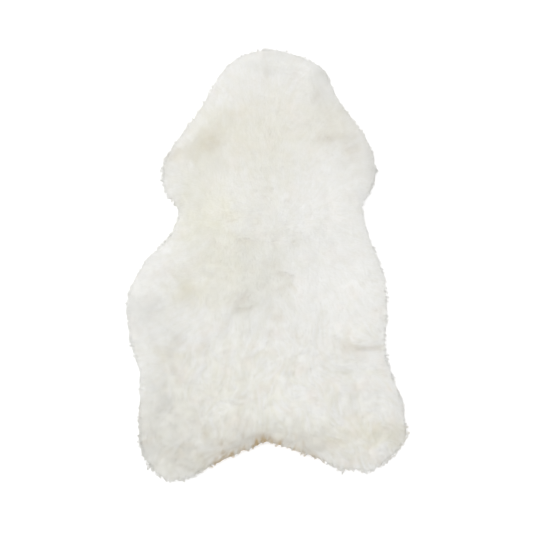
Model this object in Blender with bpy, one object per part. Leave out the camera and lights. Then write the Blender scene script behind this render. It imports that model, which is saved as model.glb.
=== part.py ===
"""A sheepskin rug that lies flat with its wool up.

It is built as the real one is: a tanned hide with a cut edge, and the fleece that grows
from it, a thick lumpy mass of wool whose locks stand out past the hide at the rim.
Metres, +Z up, +Y towards the neck. The underside lies on Z = 0.
"""

import math
import random
from collections import namedtuple

import bmesh
import bpy
import numpy as np
from mathutils import Vector, noise
from mathutils.geometry import delaunay_2d_cdt

MM = 0.001

# The hide.
HIDE_THICKNESS = 2.0 * MM
HIDE_POINTS = 200  # points round its cut edge
HIDE_CELL = 38 * MM  # spacing of the points inside it
CUT_WAVER = 1.2 * MM  # how far the knife strays from a clean line
HIDE_GAP = 0.3 * MM  # clearance between the hide and the wool above it
EDGE_GAP = 2.0 * MM  # clearance between its cut edge and the wool round it
EDGE_SLOPE = 1.2 * MM  # how far the wool slopes from the hide's height to the floor

# The fleece.
PILE_HEIGHT = 45 * MM  # above the floor, away from the rim
RIM_HEIGHT = 15 * MM  # of the wall that the rim's locks grow from
RIM_FOOT = 3 * MM  # least width of the wall's foot
RIM_WAVER = 0.22  # how unevenly the rim stands and rolls over, as a share of its size
ROLL_WIDTH = 44 * MM  # how far in from the wall the wool still rounds over
FLEECE_CELL = 12.4 * MM  # spacing of the points on its top
FIRST_ROW = 7 * MM  # from the wall to the first row of points inside it

# Its lumps. The wool is plush towards the neck and tufted towards the tail.
SWELL_SIZE = 150 * MM
SWELL_RELIEF = 3.0 * MM
TUFT_SIZE = 36 * MM
TUFT_RELIEF_NECK = 2.5 * MM
TUFT_RELIEF_TAIL = 9.0 * MM
TUFTS_BEGIN = 40 * MM  # along Y, where the tufts start to deepen
TUFTS_FULL = -160 * MM

# The rim's locks, one to each panel of the wall.
LOCKS = 260
LOCK_TAPER = (0.25, 0.5)  # width of a tip as a share of its root
LOCK_TIP_HEIGHT = (2.5 * MM, 6 * MM)
LOCK_SWAY = 0.16  # sideways, as a share of the spacing
LOCK_SPREAD = (0.85, 1.3)  # shortest and longest, as a share of the listed length
CLUMP_SIZE = 34 * MM  # neighbouring locks reach out together over about this much
CLUMP_SPREAD = 0.45
SEED = 11

# The edge of the wool from above, clockwise from the middle of the neck, in millimetres:
# where it ends, how far it hangs over the cut edge of the hide, and how long its locks are.
Landmark = namedtuple("Landmark", "place x y overhang lock")
OUTLINE = [
    Landmark("crown", -4, 459, 21, 6),
    Landmark("brow_right", 57, 449, 21, 6),
    Landmark("cheek_right", 121, 415, 21, 6),
    Landmark("throat_right", 148, 360, 21, 6),
    Landmark("shoulder_right", 226, 240, 21, 7),
    Landmark("wrist_right", 229, 176, 21, 8),
    Landmark("elbow_right", 218, 151, 20, 7),
    Landmark("armpit_right", 204, 134, 20, 6),
    Landmark("ribs_right", 218, 60, 20, 6),
    Landmark("waist_right", 241, 4, 20, 6),
    Landmark("belly_right", 252, -34, 21, 6),
    Landmark("flank_right", 254, -110, 22, 7),
    Landmark("loin_right", 251, -180, 22, 7),
    Landmark("thigh_right", 289, -284, 23, 9),
    Landmark("knee_right", 294, -320, 23, 9),
    Landmark("heel_right", 298, -352, 24, 10),
    Landmark("foot_right", 283, -385, 24, 10),
    Landmark("sole_right", 215, -436, 24, 11),
    Landmark("arch_right", 180, -434, 22, 10),
    Landmark("stifle_right", 142, -429, 18, 9),
    Landmark("rump_right", 104, -407, 9, 7),
    Landmark("tail_right", 66, -394, 4, 6),
    Landmark("notch", -6, -371, 3, 6),
    Landmark("dock_left", -38, -386, 3, 6),
    Landmark("tail_left", -66, -397, 4, 6),
    Landmark("arch_left", -186, -455, 21, 10),
    Landmark("sole_left", -220, -454, 24, 11),
    Landmark("foot_left", -270, -388, 24, 10),
    Landmark("knee_left", -276, -310, 23, 9),
    Landmark("thigh_left", -271, -240, 22, 8),
    Landmark("hip_left", -288, -175, 22, 7),
    Landmark("belly_left", -300, -72, 21, 7),
    Landmark("ribs_left", -258, 16, 21, 6),
    Landmark("chest_left", -214, 60, 20, 6),
    Landmark("pit_left", -196, 96, 20, 6),
    Landmark("armpit_left", -191, 116, 20, 6),
    Landmark("elbow_left", -215, 145, 20, 7),
    Landmark("forearm_left", -227, 190, 21, 8),
    Landmark("shoulder_left", -219, 226, 21, 7),
    Landmark("neck_left", -143, 336, 21, 6),
    Landmark("cheek_left", -104, 404, 21, 6),
    Landmark("brow_left", -66, 440, 21, 6),
]

# Hollows pressed or parted in the pile, in millimetres: the middle of each, how far it
# reaches along X and along Y, and its depth.
Hollow = namedtuple("Hollow", "place x y reach_x reach_y depth")
HOLLOWS = [
    Hollow("crease_of_flank", 200, -171, 62, 8, 4),
    Hollow("crown_of_back", -25, 93, 24, 20, 4),
    Hollow("spine_upper", 2, 150, 9, 90, 2),
    Hollow("spine_lower", 12, -60, 10, 120, 2),
    Hollow("shoulder_left", -115, 250, 30, 24, 4),
    Hollow("shoulder_right", 135, 296, 26, 20, 4),
    Hollow("wither_right", 168, 250, 24, 18, 3),
]

HIDE_COLOUR = (0.46, 0.36, 0.24, 1.0)
FLEECE_COLOUR = (0.79, 0.78, 0.73, 1.0)


def clear_scene():
    """Starts from an empty scene."""
    for thing in list(bpy.data.objects):
        bpy.data.objects.remove(thing, do_unlink=True)


def surface(name, colour, roughness):
    """A plain material with the piece's own colour."""
    material = bpy.data.materials.new(name)
    material.use_nodes = True
    shader = material.node_tree.nodes["Principled BSDF"]
    shader.inputs["Base Color"].default_value = colour
    shader.inputs["Roughness"].default_value = roughness
    shader.inputs["Metallic"].default_value = 0.0
    return material


def closed_curve(rows, steps=24):
    """Points on a smooth closed curve through the rows; every column is carried along."""
    rows = np.array(rows, float)
    t = np.linspace(0.0, 1.0, steps, endpoint=False)[:, None]
    pieces = []
    for i in range(len(rows)):
        before, start, end, after = (rows[(i + k) % len(rows)] for k in (-1, 0, 1, 2))
        pull_in, length, pull_out = (
            max(np.hypot(*(b - a)[:2]), 1e-9) ** 0.5
            for a, b in ((before, start), (start, end), (end, after))
        )
        leave = (end - start) / length - (end - before) / (pull_in + length)
        leave = (leave + (start - before) / pull_in) * length
        arrive = (after - end) / pull_out - (after - start) / (length + pull_out)
        arrive = (arrive + (end - start) / length) * length
        pieces.append(
            (2 * t**3 - 3 * t**2 + 1) * start
            + (t**3 - 2 * t**2 + t) * leave
            + (3 * t**2 - 2 * t**3) * end
            + (t**3 - t**2) * arrive
        )
    return np.vstack(pieces)


def evenly_spaced(curve, count):
    """The closed curve again, as so many points at equal steps along it."""
    loop = np.vstack([curve, curve[:1]])
    run = np.concatenate([[0.0], np.cumsum(np.hypot(*np.diff(loop[:, :2], axis=0).T))])
    at = np.linspace(0.0, run[-1], count, endpoint=False)
    return np.stack([np.interp(at, run, column) for column in loop.T], axis=1)


def outward(points):
    """The unit direction that points out of a closed clockwise outline, at each point."""
    along = np.roll(points, -2, axis=0) - np.roll(points, 2, axis=0)
    normal = np.stack([-along[:, 1], along[:, 0]], axis=1)
    return normal / np.linalg.norm(normal, axis=1)[:, None]


def wool_edge(count):
    """Edge points, their outward directions, overhang and lock length, all in metres."""
    rows = [(mark.x, mark.y, mark.overhang, mark.lock) for mark in OUTLINE]
    spread = evenly_spaced(closed_curve(rows), count) * MM
    return spread[:, :2], outward(spread[:, :2]), spread[:, 2], spread[:, 3]


def inside(points, ring):
    """Whether each point lies inside the closed ring."""
    crossings = np.zeros(len(points), bool)
    for (ax, ay), (bx, by) in zip(ring, np.roll(ring, -1, axis=0)):
        spans = (ay > points[:, 1]) != (by > points[:, 1])
        if spans.any():
            reach = ax + (points[:, 1] - ay) * (bx - ax) / (by - ay)
            crossings ^= spans & (points[:, 0] < reach)
    return crossings


def distance_to(points, ring):
    """The distance of each point to the closed ring."""
    nearest = np.full(len(points), np.inf)
    for a, b in zip(ring, np.roll(ring, -1, axis=0)):
        step = b - a
        t = np.clip((points - a) @ step / (step @ step), 0.0, 1.0)
        nearest = np.minimum(nearest, np.linalg.norm(points - a - t[:, None] * step, axis=1))
    return nearest


def filled(ring, cell, margin):
    """Triangles over a ring, with inner points in rows a cell apart. The ring comes first."""
    low, high = ring.min(axis=0), ring.max(axis=0)
    grid = []
    for row, y in enumerate(np.arange(low[1], high[1], cell * math.sqrt(3) / 2)):
        start = low[0] + (row % 2) * cell / 2
        grid += [(x, y) for x in np.arange(start, high[0], cell)]
    grid = np.array(grid)
    grid = grid[inside(grid, ring)]
    grid = grid[distance_to(grid, ring) > margin]
    points = np.vstack([ring, grid])
    face = list(range(len(ring)))[::-1]
    found = delaunay_2d_cdt([Vector(p) for p in points], [], [face], 1, 1e-9)
    source = [origin[0] for origin in found[3]]
    return points, [tuple(source[v] for v in triangle) for triangle in found[2]]


def hollows(x, y):
    """How deep the pressed and parted places are at a point."""
    depth = 0.0
    for spot in HOLLOWS:
        across = (x / MM - spot.x) / spot.reach_x
        along = (y / MM - spot.y) / spot.reach_y
        depth += spot.depth * MM * math.exp(-across * across - along * along)
    return depth


def tufts(x, y, size):
    """A field of rounded tufts about so far apart, from 0 between them to 1 on top."""
    slow = Vector((x, y, 0.0)) / (2.2 * size)
    shift_x = noise.noise(slow + Vector((0.0, 0.0, 5.1))) * 0.35
    shift_y = noise.noise(slow + Vector((0.0, 0.0, 9.7))) * 0.35
    distance = noise.voronoi(Vector((x / size + shift_x, y / size + shift_y, 0.0)))[0][0]
    return max(0.0, 1.0 - 1.6 * distance * distance)


def uneven(x, y):
    """About 1, a little more or less from place to place along the rim."""
    return 1.0 + RIM_WAVER * 2.0 * noise.noise(Vector((x, y, 0.7)) / CLUMP_SIZE)


def pile_top(x, y, inward):
    """Height of the wool above the floor, so far in from the wall."""
    rise = min(inward / (ROLL_WIDTH * uneven(x, y)), 1.0)
    round_over = math.sqrt(1.0 - (1.0 - rise) ** 2)
    swell = noise.noise(Vector((x, y, 0.3)) / SWELL_SIZE) * SWELL_RELIEF
    blend = min(max((TUFTS_BEGIN - y) / (TUFTS_BEGIN - TUFTS_FULL), 0.0), 1.0)
    relief = TUFT_RELIEF_NECK + (TUFT_RELIEF_TAIL - TUFT_RELIEF_NECK) * blend
    lump = relief * (tufts(x, y, TUFT_SIZE) - 0.6)
    full = PILE_HEIGHT + swell + lump - hollows(x, y)
    brim = RIM_HEIGHT * uneven(x, y)
    return brim + (full - brim) * round_over


def add_ring(bm, points, heights):
    """New vertices over points on the floor, each at its height."""
    return [bm.verts.new((x, y, z)) for (x, y), z in zip(points, heights)]


def bridge(bm, first, second):
    """The band of panels between two rings with the same number of points."""
    faces = []
    for i in range(len(first)):
        j = (i + 1) % len(first)
        faces.append(bm.faces.new((first[i], first[j], second[j], second[i])))
    return faces


def level(height):
    """The height of every inner point of a flat face."""
    return lambda points: [height] * len(points)


def fill_ring(bm, ring_verts, ring, cell, heights):
    """Closes a ring of vertices with triangles whose inner points lie at those heights."""
    points, triangles = filled(ring, cell, 0.6 * cell)
    inner = points[len(ring) :]
    every = ring_verts + add_ring(bm, inner, heights(inner))
    for triangle in triangles:
        bm.faces.new([every[v] for v in triangle])


def finished(name, bm, material):
    """Turns the bmesh into a named, smoothly shaded object with its faces outwards."""
    bmesh.ops.recalc_face_normals(bm, faces=bm.faces)
    mesh = bpy.data.meshes.new(name)
    bm.to_mesh(mesh)
    bm.free()
    mesh.shade_smooth()
    mesh.materials.append(material)
    thing = bpy.data.objects.new(name, mesh)
    bpy.context.scene.collection.objects.link(thing)
    return thing


def build_hide():
    """The skin: a flat sheet cut a little unevenly inside the edge of the wool."""
    edge, out, overhang, _ = wool_edge(HIDE_POINTS)
    waver = [noise.noise(Vector((x, y, 0.0)) / (45 * MM)) * CUT_WAVER for x, y in edge]
    ring = edge - out * (overhang + waver)[:, None]
    bm = bmesh.new()
    ring_verts = add_ring(bm, ring, [0.0] * len(ring))
    fill_ring(bm, ring_verts, ring, HIDE_CELL, level(0.0))
    sheet = bmesh.ops.extrude_face_region(bm, geom=bm.faces[:])
    lifted = [part for part in sheet["geom"] if isinstance(part, bmesh.types.BMVert)]
    bmesh.ops.translate(bm, verts=lifted, vec=(0, 0, HIDE_THICKNESS))
    thing = finished("hide", bm, surface("tanned_leather", HIDE_COLOUR, 0.8))
    thing.data.set_sharp_from_angle(angle=math.radians(50))
    return thing


def over_the_hide(overhang, lock):
    """Which points of the wall stand on the hide, where it reaches out under the locks."""
    close = overhang < lock + 2 * RIM_FOOT
    return np.any([np.roll(close, step) for step in range(-2, 3)], axis=0)


def grow_locks(bm, number, wall, edge, out, lock, base):
    """Draws every panel of the wall out into a lock that tapers and droops to rest level."""
    chance = random.Random(SEED)
    for i, panel in enumerate(wall):
        panel[number] = i
    tips = bmesh.ops.extrude_discrete_faces(bm, faces=wall)["faces"]
    for tip in sorted(tips, key=lambda face: face[number]):
        i = tip[number]
        j = (i + 1) % len(edge)
        across = edge[j] - edge[i]
        spread = chance.uniform(*LOCK_SPREAD)
        taper = chance.uniform(*LOCK_TAPER)
        sway = chance.uniform(-LOCK_SWAY, LOCK_SWAY)
        height = chance.uniform(*LOCK_TIP_HEIGHT)
        clump = 1.0 + CLUMP_SPREAD * noise.noise(Vector((*edge[i], 1.3)) / CLUMP_SIZE)
        length = 0.5 * (lock[i] + lock[j]) * spread * clump
        root = sum((Vector(v.co[:2]) for v in tip.verts), Vector((0, 0))) / 4
        way = Vector(out[i] + out[j]).normalized()
        middle = root + way * length + Vector(across) * sway
        low = min(v.co.z for v in tip.verts)
        halfway = (low + max(v.co.z for v in tip.verts)) / 2
        for v in tip.verts:
            flat = middle + (Vector(v.co[:2]) - root) * taper
            z = max(base[i], base[j]) + (height if v.co.z > halfway else 0.0)
            v.co = (flat.x, flat.y, z)


def build_fleece():
    """The wool: a lumpy slab hollowed underneath for the hide, with locks round its rim."""
    edge, out, overhang, lock = wool_edge(LOCKS)
    seat = HIDE_THICKNESS + HIDE_GAP
    on_hide = over_the_hide(overhang, lock)
    base = np.where(on_hide, seat, 0.0)
    wall = edge - out * lock[:, None]
    first = edge - out * (lock + FIRST_ROW)[:, None]
    brow_in = np.maximum(overhang - EDGE_GAP, lock + RIM_FOOT + EDGE_SLOPE)
    brow = edge - out * brow_in[:, None]
    step = edge - out * (brow_in - EDGE_SLOPE)[:, None]

    bm = bmesh.new()
    number = bm.faces.layers.int.new("lock")
    wall_top = add_ring(bm, wall, [pile_top(x, y, 0.0) for x, y in wall])
    wall_foot = add_ring(bm, wall, base)
    row = add_ring(bm, first, [pile_top(x, y, FIRST_ROW) for x, y in first])
    panels = bridge(bm, wall_top, wall_foot)
    bridge(bm, row, wall_top)

    def tops(points):
        return [pile_top(x, y, d) for (x, y), d in zip(points, distance_to(points, wall))]

    fill_ring(bm, row, first, FLEECE_CELL, tops)
    rest = add_ring(bm, step, base)
    roof = add_ring(bm, brow, [seat] * LOCKS)
    bridge(bm, wall_foot, rest)
    bridge(bm, rest, roof)
    fill_ring(bm, roof, brow, HIDE_CELL, level(seat))
    grow_locks(bm, number, panels, edge, out, lock, base)
    return finished("fleece", bm, surface("wool", FLEECE_COLOUR, 0.95))


def centre(things):
    """Moves the whole rug so that the origin is under the middle of its box."""
    corners = np.array([v.co for thing in things for v in thing.data.vertices])
    low, high = corners.min(axis=0), corners.max(axis=0)
    shift = Vector((-(low[0] + high[0]) / 2, -(low[1] + high[1]) / 2, -low[2]))
    for thing in things:
        for v in thing.data.vertices:
            v.co += shift
    print("box in mm:", [round(float(side) / MM, 1) for side in high - low])
    print("moved by mm:", [round(part / MM, 2) for part in shift])


def main():
    clear_scene()
    rug = [build_hide(), build_fleece()]
    centre(rug)
    for thing in rug:
        thing.data.calc_loop_triangles()
        print(thing.name, len(thing.data.loop_triangles), "triangles")


main()
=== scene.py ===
# %% [markdown]
# A sheepskin rug is one whole pelt, tanned with its wool left on and laid flat with the wool up.
# The packed model gives it as two solids: the hide, a 2 mm sheet of leather, and the fleece, a
# lumpy slab of wool about 45 mm deep. Both are loaded first, because all that follows sits on them.

# %% Load the packed rug
import math

import bpy
import numpy as np
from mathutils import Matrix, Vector, kdtree
from mathutils.bvhtree import BVHTree


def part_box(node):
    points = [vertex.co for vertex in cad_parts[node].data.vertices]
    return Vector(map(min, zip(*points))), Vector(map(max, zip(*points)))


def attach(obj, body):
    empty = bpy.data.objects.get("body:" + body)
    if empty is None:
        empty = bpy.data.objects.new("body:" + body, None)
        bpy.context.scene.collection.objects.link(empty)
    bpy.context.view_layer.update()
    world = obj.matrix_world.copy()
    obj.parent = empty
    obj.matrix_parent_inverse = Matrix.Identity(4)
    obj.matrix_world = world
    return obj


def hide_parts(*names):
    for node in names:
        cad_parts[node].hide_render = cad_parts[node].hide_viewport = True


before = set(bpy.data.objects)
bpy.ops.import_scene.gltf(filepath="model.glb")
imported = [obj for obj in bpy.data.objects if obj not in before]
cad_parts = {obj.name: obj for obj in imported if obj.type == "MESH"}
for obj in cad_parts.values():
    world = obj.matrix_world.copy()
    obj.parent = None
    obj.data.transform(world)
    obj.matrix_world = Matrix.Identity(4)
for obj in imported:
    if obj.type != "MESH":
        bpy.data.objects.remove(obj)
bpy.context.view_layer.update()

MM = 0.001
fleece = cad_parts["fleece"]
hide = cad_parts["hide"]
print("solids:", sorted(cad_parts))

# %% [markdown]
# The photograph looks straight down on the rug and shows nothing of its sides, so it was taken from
# high above. The camera stands three metres up, and its lens is worked out from the width of floor
# that the picture takes in. It stands a hair to the left of the rug's middle, towards the tail.

# %% Camera
EYE_PLACE = (-1.5 * MM, -1.9 * MM, 3.0)
FLOOR_IN_VIEW = 1.1247
SENSOR = 36.0

bpy.ops.object.select_all(action="DESELECT")
bpy.ops.object.camera_add(location=EYE_PLACE, rotation=(0, 0, 0))
camera = bpy.context.object
camera.name = "eye"
camera.data.sensor_width = SENSOR
camera.data.lens = SENSOR * EYE_PLACE[2] / FLOOR_IN_VIEW
bpy.context.scene.camera = camera
bpy.context.scene.view_settings.view_transform = "Standard"
print("lens, mm:", round(camera.data.lens, 1))

# %% [markdown]
# Shader maths reads best as sums. A Wire is one output of a material's nodes, and adding or
# multiplying wires adds the Math node that does it. A Finish is one material. All its other nodes
# come from one method, which takes the kind of node, its settings and what goes into its sockets.

# %% Wires
class Wire:
    """An output of a node that can be added, multiplied and so on as a number can."""

    def __init__(self, finish, socket):
        self.finish = finish
        self.socket = socket

    def maths(self, operation, *values):
        settings = {"operation": operation}
        return self.finish.node("Math", settings, dict(enumerate(values)))

    def __add__(self, other):
        return self.maths("ADD", self, other)

    def __radd__(self, other):
        return self.maths("ADD", other, self)

    def __sub__(self, other):
        return self.maths("SUBTRACT", self, other)

    def __rsub__(self, other):
        return self.maths("SUBTRACT", other, self)

    def __mul__(self, other):
        return self.maths("MULTIPLY", self, other)

    def __rmul__(self, other):
        return self.maths("MULTIPLY", other, self)

    def __pow__(self, other):
        return self.maths("POWER", self, other)

    def __rpow__(self, other):
        return self.maths("POWER", other, self)


print("sums a wire can do:", [name for name in vars(Wire) if name.startswith("__r")])


# %% Finishes
class Finish:
    """A material, with one method that makes any of its nodes."""

    def __init__(self, name):
        self.material = bpy.data.materials.new(name)
        self.material.use_nodes = True
        self.tree = self.material.node_tree
        self.shader = self.tree.nodes["Principled BSDF"]

    def put(self, socket, value):
        if isinstance(value, Wire):
            self.tree.links.new(value.socket, socket)
        else:
            socket.default_value = value

    def node(self, kind, settings, values, out=0):
        made = self.tree.nodes.new("ShaderNode" + kind)
        for name, value in settings.items():
            setattr(made, name, value)
        for name, value in values.items():
            self.put(made.inputs[name], value)
        return Wire(self, made.outputs[out])

    def clouds(self, scale, detail):
        """Soft noise from 0 to 1 that sticks to the piece, so many clouds to the metre."""
        place = self.node("TexCoord", {}, {}, 3)
        return self.node("TexNoise", {}, {"Vector": place, "Scale": scale, "Detail": detail})

    def mix(self, colour_a, colour_b, share):
        return self.node("Mix", {"data_type": "RGBA"}, {0: share, 6: colour_a, 7: colour_b}, 2)

    def attribute(self, name):
        return self.node("Attribute", {"attribute_name": name}, {}, 2)

    def relief(self, strength, depth, height):
        """A bump of the given depth in metres, from a wire between 0 and 1."""
        return self.node("Bump", {}, {"Strength": strength, "Distance": depth, "Height": height})

    def surface(self, **values):
        for name, value in values.items():
            self.put(self.shader.inputs[name.replace("_", " ")], value)


def paint(red, green, blue):
    """A colour as a picture shows it, 0 to 255, in the light's own numbers."""
    linear = [((c / 255 + 0.055) / 1.055) ** 2.4 for c in (red, green, blue)]
    return (*linear, 1.0)


print("cream wool in the light's numbers:", [round(c, 3) for c in paint(238, 232, 216)])

# %% [markdown]
# The ground of the photograph is plain white and shows no shadow. A wide matt floor comes close to
# that. It also glows faintly, as the top of a light table does, which fills in the grey halo that
# the wool would otherwise throw round itself.

# %% Floor
FLOOR_SIZE = 16
FLOOR_DROP = 0.3 * MM
FLOOR_GLOW = 0.3

floor_finish = Finish("floor")
floor_finish.surface(
    Base_Color=floor_finish.mix(
        paint(244, 244, 244), paint(246, 246, 246), floor_finish.clouds(3.0, 2.0)
    ),
    Roughness=0.9,
    Emission_Color=paint(250, 250, 250),
    Emission_Strength=FLOOR_GLOW,
)

bpy.ops.mesh.primitive_plane_add(size=FLOOR_SIZE, location=(0, 0, -FLOOR_DROP))
floor = bpy.context.object
floor.name = "floor"
floor.data.materials.append(floor_finish.material)
print("floor, m:", round(floor.dimensions.x))

# %% [markdown]
# The light is soft and comes from all round, with one large lamp from the upper left, which leaves
# the right and lower edges of the wool a little greyer. A sun with a very wide disc does for the
# lamp, because its light falls at the same slant on every lock.

# %% Light
DOME_STRENGTH = 1.05
LAMP_STRENGTH = 0.55
LAMP_PLACE = (-1.5, 1.7, 2.8)
LAMP_WIDTH = 70

world = bpy.data.worlds.new("dome")
world.use_nodes = True
world.node_tree.nodes["Background"].inputs["Color"].default_value = (1, 1, 1, 1)
world.node_tree.nodes["Background"].inputs["Strength"].default_value = DOME_STRENGTH
bpy.context.scene.world = world

bpy.ops.object.light_add(type="SUN", location=LAMP_PLACE)
lamp = bpy.context.object
lamp.name = "soft_lamp"
lamp.data.angle = math.radians(LAMP_WIDTH)
lamp.data.energy = LAMP_STRENGTH
lamp.rotation_euler = (-lamp.location).to_track_quat("-Z", "Y").to_euler()
print("lamp stands off, m:", round(lamp.location.length, 2))

# %% [markdown]
# The wool has to follow the packed fleece, so the fleece is read once from above, as a map: an
# array with one number for each cell of the rug. A ray is dropped on every cell, and where it lands
# is the height of the wool. Softening the map takes out the facets of the solid. The maps that come
# later, of grooves, wisps and so on, have the same cells.

# %% Read the fleece from above
CELL = 1.5 * MM
MARGIN = 30 * MM
RAY_START = 0.2
box_low, box_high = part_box("fleece")
WEST = box_low[0] - MARGIN
SOUTH = box_low[1] - MARGIN
COLUMNS = int((box_high[0] - box_low[0] + 2 * MARGIN) / CELL) + 1
ROWS = int((box_high[1] - box_low[1] + 2 * MARGIN) / CELL) + 1

tree = BVHTree.FromObject(fleece, bpy.context.evaluated_depsgraph_get())
down = Vector((0, 0, -1))
top = np.zeros((ROWS, COLUMNS))
for row in range(ROWS):
    y = SOUTH + row * CELL
    for column in range(COLUMNS):
        spot, _, _, _ = tree.ray_cast(Vector((WEST + column * CELL, y, RAY_START)), down)
        if spot:
            top[row, column] = spot.z
covered = top > 0
print("covered, square metres:", round(float(covered.sum()) * CELL * CELL, 4))


# %% Soften a map, and read it anywhere
def softened(grid, reach):
    """The map blurred over a reach in metres."""
    cells = reach / CELL
    half = int(3 * cells) + 1
    weights = np.exp(-0.5 * (np.arange(-half, half + 1) / cells) ** 2)
    weights = weights / weights.sum()
    rows, columns = grid.shape
    wide = np.pad(grid, half, mode="edge")
    tall = sum(w * wide[i : i + rows, :] for i, w in enumerate(weights))
    return sum(w * tall[:, i : i + columns] for i, w in enumerate(weights))


def read(grid, x, y):
    """The map's value at any places, in metres, between its cells."""
    across = np.clip((x - WEST) / CELL, 0, COLUMNS - 1.001)
    up = np.clip((y - SOUTH) / CELL, 0, ROWS - 1.001)
    i = across.astype(int)
    j = up.astype(int)
    a = across - i
    b = up - j
    near = grid[j, i] * (1 - a) + grid[j, i + 1] * a
    far = grid[j + 1, i] * (1 - a) + grid[j + 1, i + 1] * a
    return near * (1 - b) + far * b


HEIGHT_AT_FLOOR = 1.5 * MM
height = softened(np.where(covered, top, HEIGHT_AT_FLOOR), 4 * MM)
print("highest wool, mm:", round(float(height.max()) / MM, 1))

# %% [markdown]
# Wool lies and hangs in its own way near the rim, so two more maps are needed. One says how far
# each cell is inside the outline. The other, its slope, says which way is out. The slope is taken
# from a much softer copy, so that it doesn't flicker from one lock of the rim to the next.


# %% How far inside the outline, and which way is out
def edge_distance(mask):
    """How far each cell is inside the mask's edge, in metres, or outside it as a minus."""
    edge = np.zeros_like(mask)
    edge[1:, :] |= mask[1:, :] != mask[:-1, :]
    edge[:, 1:] |= mask[:, 1:] != mask[:, :-1]
    places = np.argwhere(edge)
    near = kdtree.KDTree(len(places))
    for number, (row, column) in enumerate(places):
        near.insert((column * CELL, row * CELL, 0), number)
    near.balance()
    away = np.zeros(mask.shape)
    for row in range(mask.shape[0]):
        for column in range(mask.shape[1]):
            away[row, column] = near.find((column * CELL, row * CELL, 0))[2]
    return np.where(mask, away, -away)


inward = softened(edge_distance(covered), 1.5 * MM)
slope_y, slope_x = np.gradient(softened(inward, 9 * MM), CELL)
steep = np.maximum(np.hypot(slope_x, slope_y), 0.05)
outward_x = -slope_x / steep
outward_y = -slope_y / steep
print("deepest inside, mm:", round(float(inward.max()) / MM))
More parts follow.
